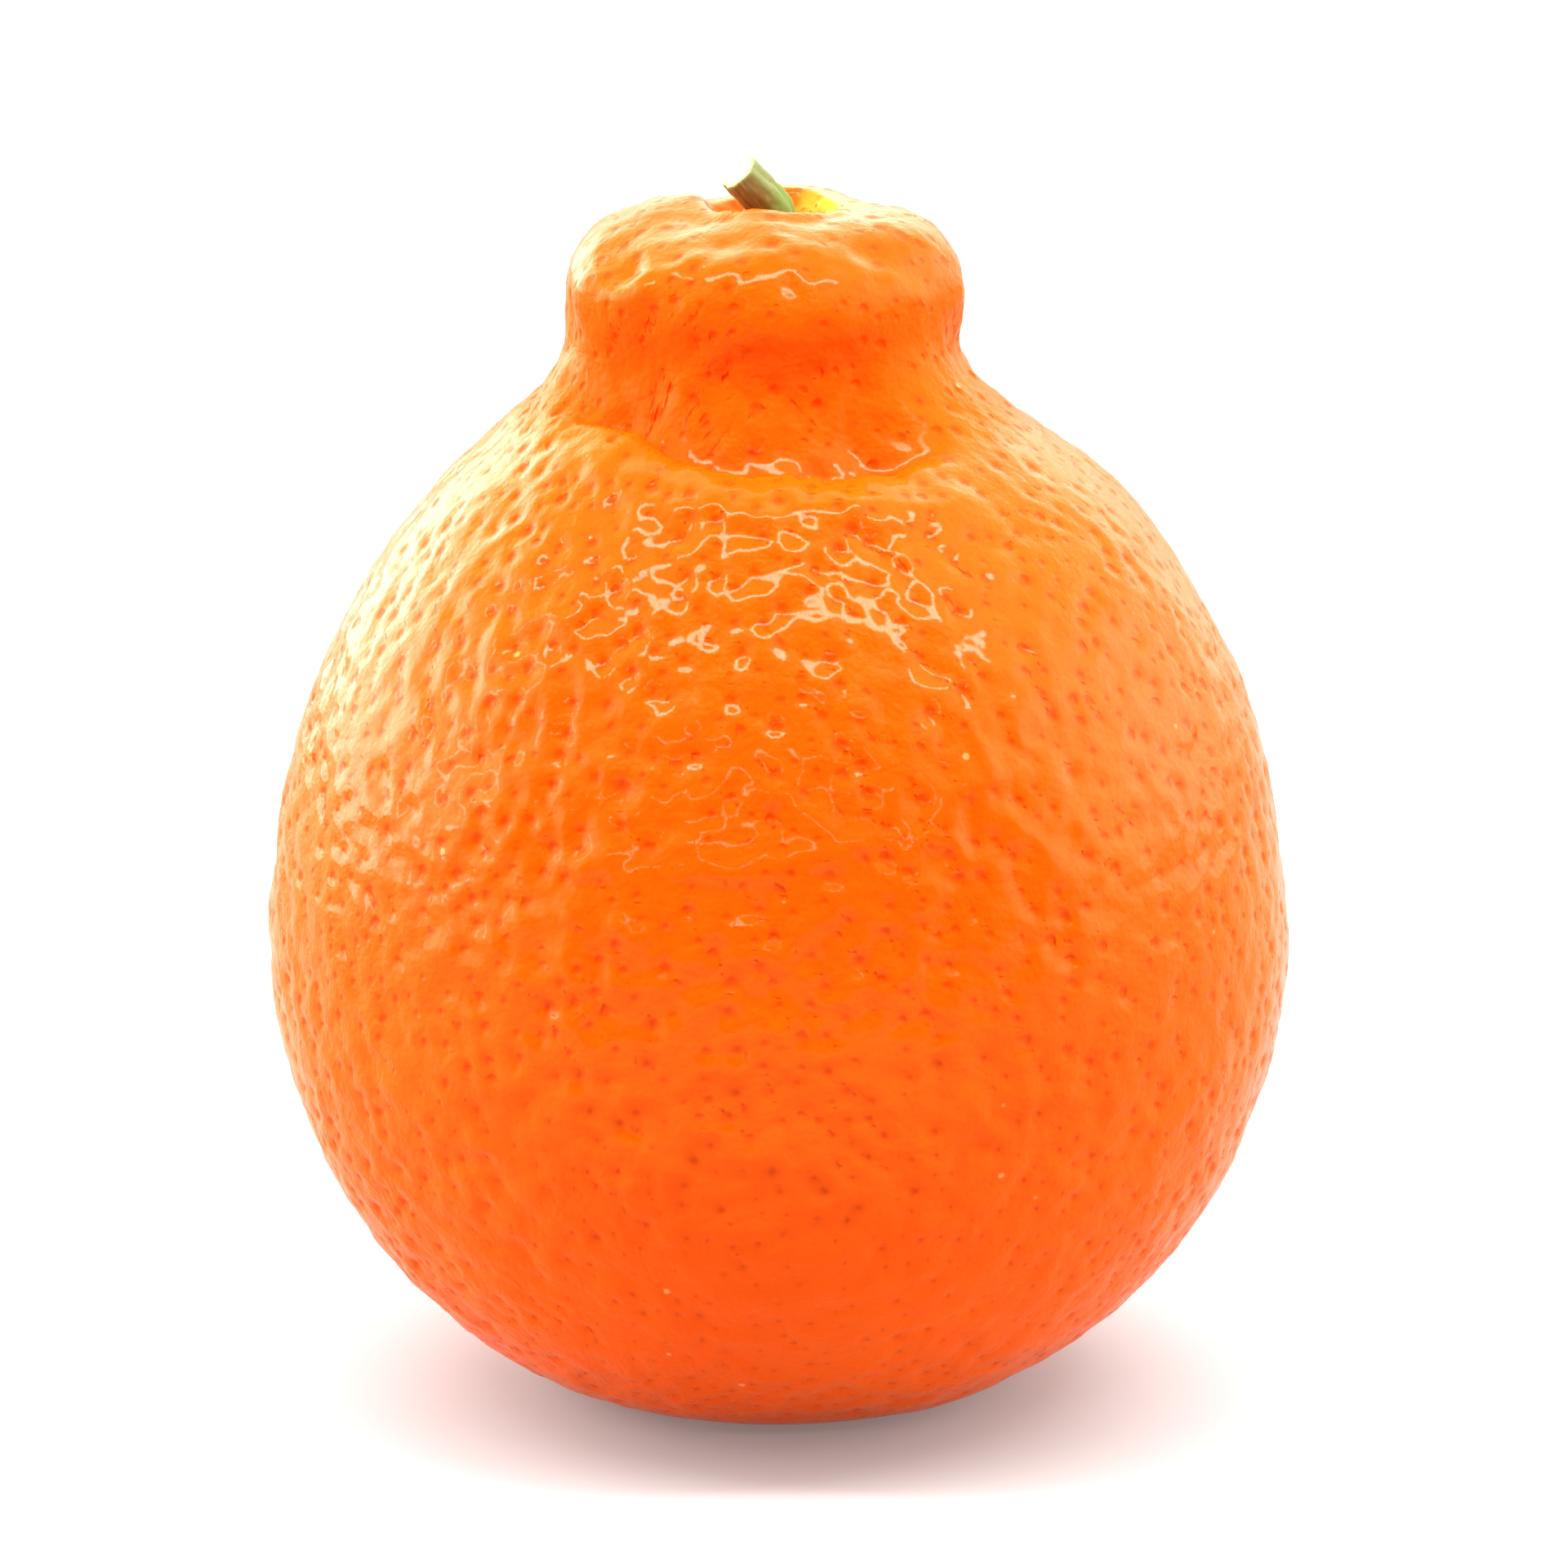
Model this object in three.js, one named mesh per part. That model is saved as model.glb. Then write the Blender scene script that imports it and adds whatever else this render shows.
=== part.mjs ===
// A necked tangelo standing upright on its blossom end, with the stub of its stalk still on.
//
// Millimetres, +Z up. The origin is the middle of the small flat spot that the fruit rests on, +Z runs up
// through the neck, and -Y is the side whose shoulder folds over the foot of the neck.
//
// The fruit is one lathed profile that is then pushed into its natural, uneven shape. The calyx sits in the
// recess on top of the neck, and the stalk leans out of it. The pieces keep a small gap to each other.

import * as THREE from "three";

// Fruit: radii and heights of its outline.
const FRUIT_HEIGHT = 88.5;
const WIDEST_RADIUS = 38;
const WIDEST_HEIGHT = 33.9;
const REST_RADIUS = 11;
const UPPER_HALF = 45.4; // from the widest place to where the round shoulder would end without the neck
const SHOULDER_HEIGHT = 69.8;
const NECK_RADIUS = 14.3;
const WAIST_HEIGHT = 79.3;
const HEAD_HEIGHT = 82.3;
const RIM_RADIUS = 6;
const RECESS_RADIUS = 3.7;
const RECESS_DEPTH = 2.7;

// Fruit: how far the outline's curves run straight on from their ends before they bend.
const UNDERSIDE_RUN = 13.5; // out along the floor
const SIDE_RUN = 17.7; // down from the widest place
const SHOULDER_RUN = 5.1; // up and in at SHOULDER_SLOPE
const SHOULDER_SLOPE = THREE.MathUtils.degToRad(42);
const WAIST_RUN = 4.2; // down, flaring out by WAIST_FLARE
const WAIST_FLARE = 0.9;
const HEAD_RUN = 3.5; // up the head's side
const TOP_RUN = 5.8; // out along the head's top
const RECESS_RUN = 1.2; // in and out of the recess

// Fruit: how far its shape strays from the round profile.
const NECK_OFFSET = -1.5; // the neck's middle, along X
const RECESS_OFFSET = 1.1; // the recess's middle, along X from the neck's
const LOBE_SIZE = 0.55; // how much the head of the neck swells and pinches
const RIM_WAVE = 0.5; // how much the rim of the recess rises and falls
const RIM_HUMP = 0.6; // how far the head stands higher on its left
const BRIM_HEIGHT = 1.6; // how far the peel crowds up to the stalk
const BRIM_RADIUS = 4.5;
const BRIM_FALL = 0.5; // how much less it does so behind and on the right, as a share of that
const LIP_HEIGHT = 0.6; // the shoulder's lip, in front of the neck
const NECK_UNDERCUT = 1.9; // how far the neck's foot stands back behind that lip
const CREASE_DEPTH = 0.8; // the deep end of the crease between them
const CREASE_HEIGHT = 72.8;
const FOLD_HEIGHT = 74.9; // where the crease runs up on its left
const CREASE_BEARING = 18; // of the deep end, in degrees

// Calyx and stalk.
const GAP = 0.3;
const CALYX_OFFSET = NECK_OFFSET + RECESS_OFFSET; // its middle, along X
const CALYX_RADIUS = 2.5;
const CALYX_HEIGHT = 1.3;
const CALYX_EDGE = 0.3; // rounding of its lower edge
const CALYX_LOBES = 5;
const CALYX_LOBE_SIZE = 0.12; // as a share of its radius
const STEM_RADIUS = 1.5;
const STEM_FOOT_RADIUS = 1.7;
const STEM_BEVEL = 0.15; // at the cut end
const STEM_LENGTH = 4.7;
const STEM_LEAN = THREE.MathUtils.degToRad(44);
const STEM_BEND = 1.6; // length of the foot, in which it comes to lean that far
const STEM_TURN = THREE.MathUtils.degToRad(25); // of its lean, from -X towards -Y

// Mesh fineness.
const RINGS = 54;
const SECTORS = 64;

// 0 below the first edge, 1 above the second, smooth between.
function rise(value, low, high) {
  return THREE.MathUtils.smoothstep(value, low, high);
}

// A bump of height 1 around a middle.
function bump(value, middle, width) {
  return Math.exp(-(((value - middle) / width) ** 2));
}

// Half the fruit's outline, from the middle of the resting spot up to the middle of the recess.
function fruitOutline() {
  const shoulderAngle = Math.asin((SHOULDER_HEIGHT - WIDEST_HEIGHT) / UPPER_HALF);
  const shoulderRadius = WIDEST_RADIUS * Math.cos(shoulderAngle);
  const recessFloor = FRUIT_HEIGHT - RECESS_DEPTH;
  const outline = new THREE.Path();
  outline.moveTo(0, 0);
  outline.lineTo(REST_RADIUS, 0);
  outline.bezierCurveTo(
    REST_RADIUS + UNDERSIDE_RUN, 0,
    WIDEST_RADIUS, WIDEST_HEIGHT - SIDE_RUN,
    WIDEST_RADIUS, WIDEST_HEIGHT,
  );
  outline.absellipse(0, WIDEST_HEIGHT, WIDEST_RADIUS, UPPER_HALF, 0, shoulderAngle);
  outline.bezierCurveTo(
    shoulderRadius - SHOULDER_RUN * Math.cos(SHOULDER_SLOPE),
    SHOULDER_HEIGHT + SHOULDER_RUN * Math.sin(SHOULDER_SLOPE),
    NECK_RADIUS + WAIST_FLARE, WAIST_HEIGHT - WAIST_RUN,
    NECK_RADIUS, WAIST_HEIGHT,
  );
  outline.lineTo(NECK_RADIUS, HEAD_HEIGHT);
  outline.bezierCurveTo(
    NECK_RADIUS, HEAD_HEIGHT + HEAD_RUN,
    RIM_RADIUS + TOP_RUN, FRUIT_HEIGHT,
    RIM_RADIUS, FRUIT_HEIGHT,
  );
  outline.bezierCurveTo(
    RIM_RADIUS - RECESS_RUN, FRUIT_HEIGHT,
    RECESS_RADIUS + RECESS_RUN, recessFloor,
    RECESS_RADIUS, recessFloor,
  );
  outline.lineTo(0, recessFloor);
  return outline.getSpacedPoints(RINGS);
}

// Swelling of the head of the neck at a bearing, where 0 faces -Y and a quarter turn faces +X.
function headLobes(bearing) {
  return (
    0.6 * Math.cos(2 * (bearing - 1.2)) +
    0.5 * Math.cos(3 * (bearing + 0.5)) +
    0.5 * Math.cos(5 * (bearing - 0.3))
  );
}

// Rise and fall of the rim of the recess at a bearing.
function rimWaves(bearing) {
  return (
    0.8 * Math.cos(bearing - 2.4) +
    0.5 * Math.cos(3 * (bearing - 2.7)) +
    0.4 * Math.cos(4 * (bearing + 0.1))
  );
}

// Pushes one point of the round fruit to where the grown fruit has it.
function grow(point) {
  const radius = Math.hypot(point.x, point.y);
  if (radius < 1e-6) return;
  const bearing = Math.atan2(point.x, -point.y);
  const degrees = THREE.MathUtils.radToDeg(bearing);
  const height = point.z;

  const onNeck = rise(height, 65, 81);
  const onHead = rise(height, 75, 83) * rise(radius, 3, 12);
  const onRim = rise(height, 83.5, 88) * rise(radius, RECESS_RADIUS, RIM_RADIUS);
  const onTop = rise(height, 84, 85.5);
  const inFront = rise(degrees, -75, -35) * (1 - rise(degrees, 25, 50));

  const creaseHeight = CREASE_HEIGHT + (FOLD_HEIGHT - CREASE_HEIGHT) * rise(-degrees, 10, 42);
  const above = height - creaseHeight;
  const undercut = NECK_UNDERCUT * inFront * rise(above, -0.2, 0.8) * (1 - rise(above, 2, 10));
  const lip = LIP_HEIGHT * inFront * bump(above, -2.2, 1.6);
  const crease = CREASE_DEPTH * bump(degrees, CREASE_BEARING, 15) * bump(above, 0.2, 1);

  const outward = LOBE_SIZE * headLobes(bearing) * onHead + (lip - crease) * Math.SQRT1_2 - undercut;
  const hump = RIM_HUMP * bump(degrees, -90, 45) * bump(radius, 7, 2.2);
  const crowding = 1 - BRIM_FALL * (1 - rise(Math.cos(bearing + Math.PI / 6), 0, 0.6));
  const brim = BRIM_HEIGHT * crowding * bump(radius, BRIM_RADIUS, 0.9);
  const upward = RIM_WAVE * rimWaves(bearing) * onRim + (lip - crease) * Math.SQRT1_2;
  point.x *= 1 + outward / radius;
  point.y *= 1 + outward / radius;
  point.x += NECK_OFFSET * onNeck + RECESS_OFFSET * onTop * (1 - rise(radius, 4, 9));
  point.z += upward + (hump + brim) * onTop;
}

// Moves every vertex of a geometry with a function of its place.
function reshape(geometry, move) {
  const places = geometry.getAttribute("position");
  const point = new THREE.Vector3();
  for (let i = 0; i < places.count; i++) {
    move(point.fromBufferAttribute(places, i));
    places.setXYZ(i, point.x, point.y, point.z);
  }
  geometry.computeVertexNormals();
  return geometry;
}

// Turns an outline of (radius, height) points about +Z.
function turnAboutZ(outline, sectors) {
  return new THREE.LatheGeometry(outline, sectors).rotateX(Math.PI / 2);
}

function makeFruit() {
  const peel = new THREE.MeshStandardMaterial({ color: 0xff7a1e, roughness: 0.36, metalness: 0 });
  const fruit = new THREE.Mesh(reshape(turnAboutZ(fruitOutline(), SECTORS), grow), peel);
  fruit.name = "fruit";
  return fruit;
}

// The low button at the stalk's foot, with its edge drawn out into lobes.
function makeCalyx() {
  const outline = new THREE.Path();
  outline.moveTo(0, 0);
  outline.lineTo(CALYX_RADIUS - CALYX_EDGE, 0);
  outline.quadraticCurveTo(CALYX_RADIUS, 0, CALYX_RADIUS, CALYX_EDGE);
  outline.quadraticCurveTo(CALYX_RADIUS, CALYX_HEIGHT, STEM_RADIUS, CALYX_HEIGHT);
  outline.lineTo(0, CALYX_HEIGHT);
  const button = turnAboutZ(outline.getSpacedPoints(14), 40);
  reshape(button, (point) => {
    const swell = CALYX_LOBE_SIZE * Math.cos(CALYX_LOBES * Math.atan2(point.x, -point.y));
    const spread = rise(Math.hypot(point.x, point.y), STEM_RADIUS, CALYX_RADIUS);
    point.x *= 1 + swell * spread;
    point.y *= 1 + swell * spread;
  });
  const green = new THREE.MeshStandardMaterial({ color: 0x6f8f35, roughness: 0.6, metalness: 0 });
  const calyx = new THREE.Mesh(button, green);
  calyx.name = "calyx";
  return calyx;
}

// Bends a point of the upright stalk over towards -X.
function bendStem(point) {
  const bendRadius = STEM_BEND / STEM_LEAN;
  const angle = STEM_LEAN * Math.min(point.z / STEM_BEND, 1);
  const beyond = Math.max(point.z - STEM_BEND, 0);
  const reach = bendRadius + point.x;
  point.x = reach * Math.cos(angle) - bendRadius - beyond * Math.sin(angle);
  point.z = reach * Math.sin(angle) + beyond * Math.cos(angle);
}

// The stalk's stub, which widens towards its foot and is cut square.
function makeStem() {
  const outline = new THREE.Path();
  outline.moveTo(0, 0);
  outline.lineTo(STEM_FOOT_RADIUS, 0);
  outline.quadraticCurveTo(STEM_RADIUS, 0.8, STEM_RADIUS, 2);
  outline.lineTo(STEM_RADIUS, STEM_LENGTH - STEM_BEVEL);
  outline.lineTo(STEM_RADIUS - STEM_BEVEL, STEM_LENGTH);
  outline.lineTo(0, STEM_LENGTH);
  const bark = new THREE.MeshStandardMaterial({ color: 0x93854a, roughness: 0.75, metalness: 0 });
  const stem = new THREE.Mesh(reshape(turnAboutZ(outline.getSpacedPoints(24), 32), bendStem), bark);
  stem.name = "stem";
  stem.rotation.z = STEM_TURN;
  return stem;
}

const tangelo = new THREE.Group();
tangelo.add(makeFruit());

const calyx = makeCalyx();
calyx.position.set(CALYX_OFFSET, 0, FRUIT_HEIGHT - RECESS_DEPTH + GAP);
tangelo.add(calyx);

const stem = makeStem();
stem.position.copy(calyx.position);
stem.position.z += CALYX_HEIGHT + GAP;
tangelo.add(stem);

export default tangelo;
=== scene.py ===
import math

import bmesh
import bpy
import numpy as np
from mathutils import Matrix, Vector, geometry, kdtree, noise


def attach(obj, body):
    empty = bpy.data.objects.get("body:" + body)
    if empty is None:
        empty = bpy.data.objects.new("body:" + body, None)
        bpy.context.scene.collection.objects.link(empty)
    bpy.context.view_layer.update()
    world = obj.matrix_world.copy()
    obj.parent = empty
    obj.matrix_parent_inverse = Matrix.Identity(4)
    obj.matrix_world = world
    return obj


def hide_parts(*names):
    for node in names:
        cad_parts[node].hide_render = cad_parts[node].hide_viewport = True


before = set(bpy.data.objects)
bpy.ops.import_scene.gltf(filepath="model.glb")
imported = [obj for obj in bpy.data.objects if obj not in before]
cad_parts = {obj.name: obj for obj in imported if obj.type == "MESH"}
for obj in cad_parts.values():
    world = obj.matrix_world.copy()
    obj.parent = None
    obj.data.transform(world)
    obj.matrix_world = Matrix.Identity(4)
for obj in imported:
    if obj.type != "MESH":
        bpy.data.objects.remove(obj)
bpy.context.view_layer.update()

bl_info = {
    "name": "Necked tangelo",
    "version": (1, 0, 0),
    "blender": (4, 5, 0),
    "location": "3D View > Sidebar > Tangelo",
    "description": "Grows a necked tangelo with pebbled peel, calyx and stalk around its packed frame",
    "category": "Add Mesh",
}

# Lengths are millimetres until a mesh is written. The properties, the lamps and the floor are in metres.
MM = 0.001

# The fruit's outline, the same as the solid's.
FRUIT_HEIGHT = 88.5
WIDEST_RADIUS = 38.0
WIDEST_HEIGHT = 33.9
REST_RADIUS = 11.0
UPPER_HALF = 45.4
SHOULDER_HEIGHT = 69.8
NECK_RADIUS = 14.3
WAIST_HEIGHT = 79.3
HEAD_HEIGHT = 82.3
RIM_RADIUS = 6.0
RECESS_RADIUS = 3.7
RECESS_DEPTH = 2.7

# How far the outline's curves run straight on from their ends before they bend.
UNDERSIDE_RUN = 13.5
SIDE_RUN = 17.7
SHOULDER_RUN = 5.1
SHOULDER_SLOPE = math.radians(42)
WAIST_RUN = 4.2
WAIST_FLARE = 0.9
HEAD_RUN = 3.5
TOP_RUN = 5.8
RECESS_RUN = 1.2

# How far the fruit strays from its outline. The neck's foot sinks only here: the solid is too coarse for it.
NECK_OFFSET = -1.5
RECESS_OFFSET = 1.1
LOBE_SIZE = 0.55
RIM_WAVE = 0.5
RIM_HUMP = 0.6
BRIM_HEIGHT = 1.6
BRIM_RADIUS = 4.5
BRIM_FALL = 0.5
LIP_HEIGHT = 0.6
NECK_UNDERCUT = 1.9
FOOT_SINK = 1.1
CREASE_DEPTH = 0.8
CREASE_HEIGHT = 72.8
FOLD_HEIGHT = 74.9
CREASE_BEARING = 18

# Heights between which the fruit turns into its neck, its head, the rim around its recess, and its top.
NECK_BAND = (65, 81)
HEAD_BAND = (75, 83)
RIM_BAND = (83.5, 88)
TOP_BAND = (84, 85.5)

# Bearings, in degrees, between which the crease in front grows in, dies out, and climbs to the fold.
CREASE_STARTS = (-75, -35)
CREASE_ENDS = (25, 50)
FOLD_CLIMBS = (10, 42)

# Waves around the head's side and around its rim: size, how many go round, and the bearing of one's crest.
HEAD_LOBES = [(0.6, 2, 1.2), (0.5, 3, -0.5), (0.5, 5, 0.3)]
RIM_WAVES = [(0.8, 1, 2.4), (0.5, 3, 2.7), (0.4, 4, -0.1)]

# Calyx and stalk.
CALYX_MIDDLE = (NECK_OFFSET + RECESS_OFFSET, 0.0)
CALYX_RADIUS = 2.5
CALYX_HEIGHT = 1.3
CALYX_LOBES = 5
GAP = 0.3
STEM_RADIUS = 1.5
STEM_FOOT_RADIUS = 1.7
STEM_LENGTH = 4.7
STEM_LEAN = math.radians(44)
STEM_BEND = 1.6
STEM_TURN = math.radians(25)

# Squares along each edge of the cube that the fruit is blown up from. The fruit has 12 times this number
# squared triangles.
FRUIT_FINENESS = 128

# Pores closer together than this run into one. Each pore is shaken from its even place by this share of the
# way to the next.
PORE_CLEARANCE = 1.25
PORE_SHAKE = 0.34
PORE_SEED = 5

# Dents and swellings that this fruit has: bearing in degrees, height, width and depth, which is less than 0
# for a swelling.
DENTS = [
    (-48, 85.6, 1.7, 0.95),
    (-62, 86.4, 2.2, 0.35),
    (44, 86.8, 1.8, 0.55),
    (58, 85.6, 1.9, 0.5),
    (-12, 87.6, 1.3, 0.4),
    (14, 86.0, 2.6, 0.3),
    (-30, 83.4, 2.2, 0.3),
    (80, 78.6, 2.4, 0.35),
    (-76, 80.6, 1.8, 0.3),
    (24, 74.4, 3.2, 0.5),
    (-33, 88.2, 2.4, -0.4),
    (-4, 88.6, 2.2, -0.35),
    (150, 88.6, 3.4, -0.5),
    (100, 87.6, 2.6, -0.35),
    (-140, 87.2, 2.6, 0.4),
    (175, 76.0, 4.0, 0.5),
    (-120, 60.0, 8.0, 0.5),
    (130, 46.0, 9.0, 0.45),
    (35, 56.0, 8.0, -0.3),
]

# Brown scuffs under the head: place and reach.
SCUFFS = [((-1.9, -14.2, 82.0), 3.2), ((-4.2, -14.0, 79.9), 2.4), ((3.9, -13.9, 78.9), 2.0)]

# The tent's glowing walls: name, direction, degrees from it that are fully lit, degrees from it where its
# glow ends, and strength.
TENT_WALLS = [
    ("back", (0, 1, 0.12), 20, 45, 0.8),
    ("back_roof", (0, 0.7, 0.7), 20, 45, 2.6),
    ("left", (-1, 0, 0.12), 15, 40, 2.6),
    ("left_back", (-0.77, 0.64, 0.12), 15, 35, 5.2),
    ("left_roof", (-0.75, -0.1, 0.66), 20, 45, 0.8),
    ("right", (1, 0, 0.12), 15, 40, 2.1),
    ("right_back", (0.77, 0.64, 0.12), 15, 35, 1.8),
    ("right_roof", (0.75, -0.1, 0.66), 20, 45, 1.4),
]

# Strip lamps, which make the glints: name, place, width, length and watts. They face the lamp target.
LAMP_TARGET = (0, 0, 0.05)
LAMPS = [
    ("top_strip", (0, -0.3, 0.85), 1.3, 0.1, 8.4),
    ("front_strip", (0, -0.72, 0.42), 1.0, 0.02, 0.9),
    ("left_strip", (-0.8, -0.12, 0.4), 0.04, 0.6, 1.0),
]

CAMERA_TARGET = (0.4, 0.0, 45.4)
FLOOR_REACH = 4.0


# ---------------------------------------------------------------- sizes and colours that a user can change


class TangeloPeel(bpy.types.PropertyGroup):
    """The fruit's skin."""

    colour: bpy.props.FloatVectorProperty(
        name="Colour", description="Colour of the peel between its pores", subtype="COLOR", size=4,
        default=(0.78, 0.117, 0.003, 1.0), min=0.0, max=1.0,
    )
    light_colour: bpy.props.FloatVectorProperty(
        name="Light colour", description="Colour of the peel's paler patches", subtype="COLOR", size=4,
        default=(0.8, 0.135, 0.005, 1.0), min=0.0, max=1.0,
    )
    # Painted shade: the darker, redder colour given to the bottom of each pore, and faintly to the dimple
    # round it.
    pore_shade_colour: bpy.props.FloatVectorProperty(
        name="Pore colour", description="Colour at the bottom of a pore", subtype="COLOR", size=4,
        default=(0.6, 0.065, 0.002, 1.0), min=0.0, max=1.0,
    )
    pebble_height: bpy.props.FloatProperty(
        name="Pebble height", description="How far the peel swells between its pores",
        default=0.3 * MM, min=0.0, unit="LENGTH",
    )
    lump_height: bpy.props.FloatProperty(
        name="Lump height", description="How far broad lumps stand out of the round shape",
        default=0.35 * MM, min=0.0, unit="LENGTH",
    )
    pore_spacing: bpy.props.FloatProperty(
        name="Pore spacing", description="How far a pore is from the next, on average",
        default=1.75 * MM, min=0.5 * MM, unit="LENGTH",
    )
    pore_depth: bpy.props.FloatProperty(
        name="Pore depth", description="Depth of the hole at a pore's bottom, for one a millimetre across",
        default=0.28 * MM, min=0.0, unit="LENGTH",
    )
    roughness: bpy.props.FloatProperty(
        name="Roughness", description="How dull the wax on the peel is",
        default=0.26, min=0.0, max=1.0, subtype="FACTOR",
    )


class TangeloStalk(bpy.types.PropertyGroup):
    """The stub of stalk and the calyx at its foot."""

    bark_colour: bpy.props.FloatVectorProperty(
        name="Bark colour", description="Colour of the stalk's bark", subtype="COLOR", size=4,
        default=(0.19, 0.165, 0.06, 1.0), min=0.0, max=1.0,
    )
    green_colour: bpy.props.FloatVectorProperty(
        name="Green colour", description="Colour of the calyx and the young bark", subtype="COLOR", size=4,
        default=(0.15, 0.24, 0.04, 1.0), min=0.0, max=1.0,
    )
    cut_colour: bpy.props.FloatVectorProperty(
        name="Cut colour", description="Colour of the cut end's wood", subtype="COLOR", size=4,
        default=(0.72, 0.76, 0.56, 1.0), min=0.0, max=1.0,
    )
    rib_height: bpy.props.FloatProperty(
        name="Rib height", description="How far the bark's long ribs stand out",
        default=0.07 * MM, min=0.0, unit="LENGTH",
    )


class TangeloStage(bpy.types.PropertyGroup):
    """The floor, the light and the camera."""

    camera_distance: bpy.props.FloatProperty(
        name="Camera distance", description="From the camera to the point that it looks at",
        default=0.43, min=0.1, unit="LENGTH",
    )
    camera_elevation: bpy.props.FloatProperty(
        name="Camera elevation", description="How far above level the camera stands",
        default=math.radians(14), subtype="ANGLE",
    )
    view_width: bpy.props.FloatProperty(
        name="View width", description="Width that the camera sees at the point that it looks at",
        default=0.117, min=0.01, unit="LENGTH",
    )
    floor_colour: bpy.props.FloatVectorProperty(
        name="Floor colour", description="Colour of the floor", subtype="COLOR", size=4,
        default=(0.4, 0.4, 0.4, 1.0), min=0.0, max=1.0,
    )


# ---------------------------------------------------------------- shaders


class Number:
    """A number that changes over a surface: arithmetic on it adds Math nodes."""

    def __init__(self, shading, socket):
        self.shading = shading
        self.socket = socket

    def __add__(self, other):
        return self.shading.math("ADD", self, other)

    __radd__ = __add__

    def __sub__(self, other):
        return self.shading.math("SUBTRACT", self, other)

    def __rsub__(self, other):
        return self.shading.math("SUBTRACT", other, self)

    def __mul__(self, other):
        return self.shading.math("MULTIPLY", self, other)

    __rmul__ = __mul__

    def __truediv__(self, other):
        return self.shading.math("DIVIDE", self, other)


class Shading:
    """A node tree, with short ways to add nodes to it."""

    def __init__(self, tree):
        self.tree = tree
        self.tree.nodes.clear()

    def node(self, kind, settings=None, inputs=None):
        made = self.tree.nodes.new(kind)
        for name, setting in (settings or {}).items():
            setattr(made, name, setting)
        for name, value in (inputs or {}).items():
            if isinstance(value, Number):
                value = value.socket
            if isinstance(value, bpy.types.NodeSocket):
                self.tree.links.new(value, made.inputs[name])
            else:
                made.inputs[name].default_value = value
        return made

    def math(self, operation, *values):
        made = self.node("ShaderNodeMath", {"operation": operation}, dict(enumerate(values)))
        return Number(self, made.outputs[0])

    def rise(self, value, low, high):
        """0 where the value is below low, 1 above high, smooth between. Low may be the higher one."""
        made = self.node(
            "ShaderNodeMapRange", {"interpolation_type": "SMOOTHSTEP"},
            {"Value": value, "From Min": low, "From Max": high},
        )
        return Number(self, made.outputs[0])

    def mix(self, factor, first, second):
        """A colour between two colours."""
        made = self.node("ShaderNodeMix", {"data_type": "RGBA"}, {0: factor, 6: first, 7: second})
        return made.outputs[2]

    def vector(self, operation, *values, **inputs):
        sockets = {**dict(enumerate(values)), **inputs}
        return self.node("ShaderNodeVectorMath", {"operation": operation}, sockets).outputs[0]

    def distance(self, place, point):
        made = self.node("ShaderNodeVectorMath", {"operation": "DISTANCE"}, {0: place, 1: point})
        return Number(self, made.outputs["Value"])

    def dot(self, first, second):
        made = self.node("ShaderNodeVectorMath", {"operation": "DOT_PRODUCT"}, {0: first, 1: second})
        return Number(self, made.outputs["Value"])

    def axis(self, place, name):
        return Number(self, self.node("ShaderNodeSeparateXYZ", None, {0: place}).outputs[name])

    def noise(self, place, size, detail=2.0, roughness=0.5):
        """Smooth noise from 0 to 1, whose lumps are about a size across, in millimetres."""
        made = self.node(
            "ShaderNodeTexNoise", None,
            {"Vector": place, "Scale": 1 / size, "Detail": detail, "Roughness": roughness},
        )
        return Number(self, made.outputs[0])

    def cells(self, place, size):
        """The node of a pattern of cells about a size across, in millimetres."""
        return self.node("ShaderNodeTexVoronoi", None, {"Vector": place, "Scale": 1 / size})

    def millimetres(self):
        """The place on the surface, in millimetres."""
        place = self.node("ShaderNodeTexCoord").outputs["Object"]
        return self.vector("SCALE", place, Scale=1 / MM)

    def attribute(self, name):
        return Number(self, self.node("ShaderNodeAttribute", {"attribute_name": name}).outputs["Fac"])


def new_material(name):
    material = bpy.data.materials.new(name)
    material.use_nodes = True
    return material, Shading(material.node_tree)


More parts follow.
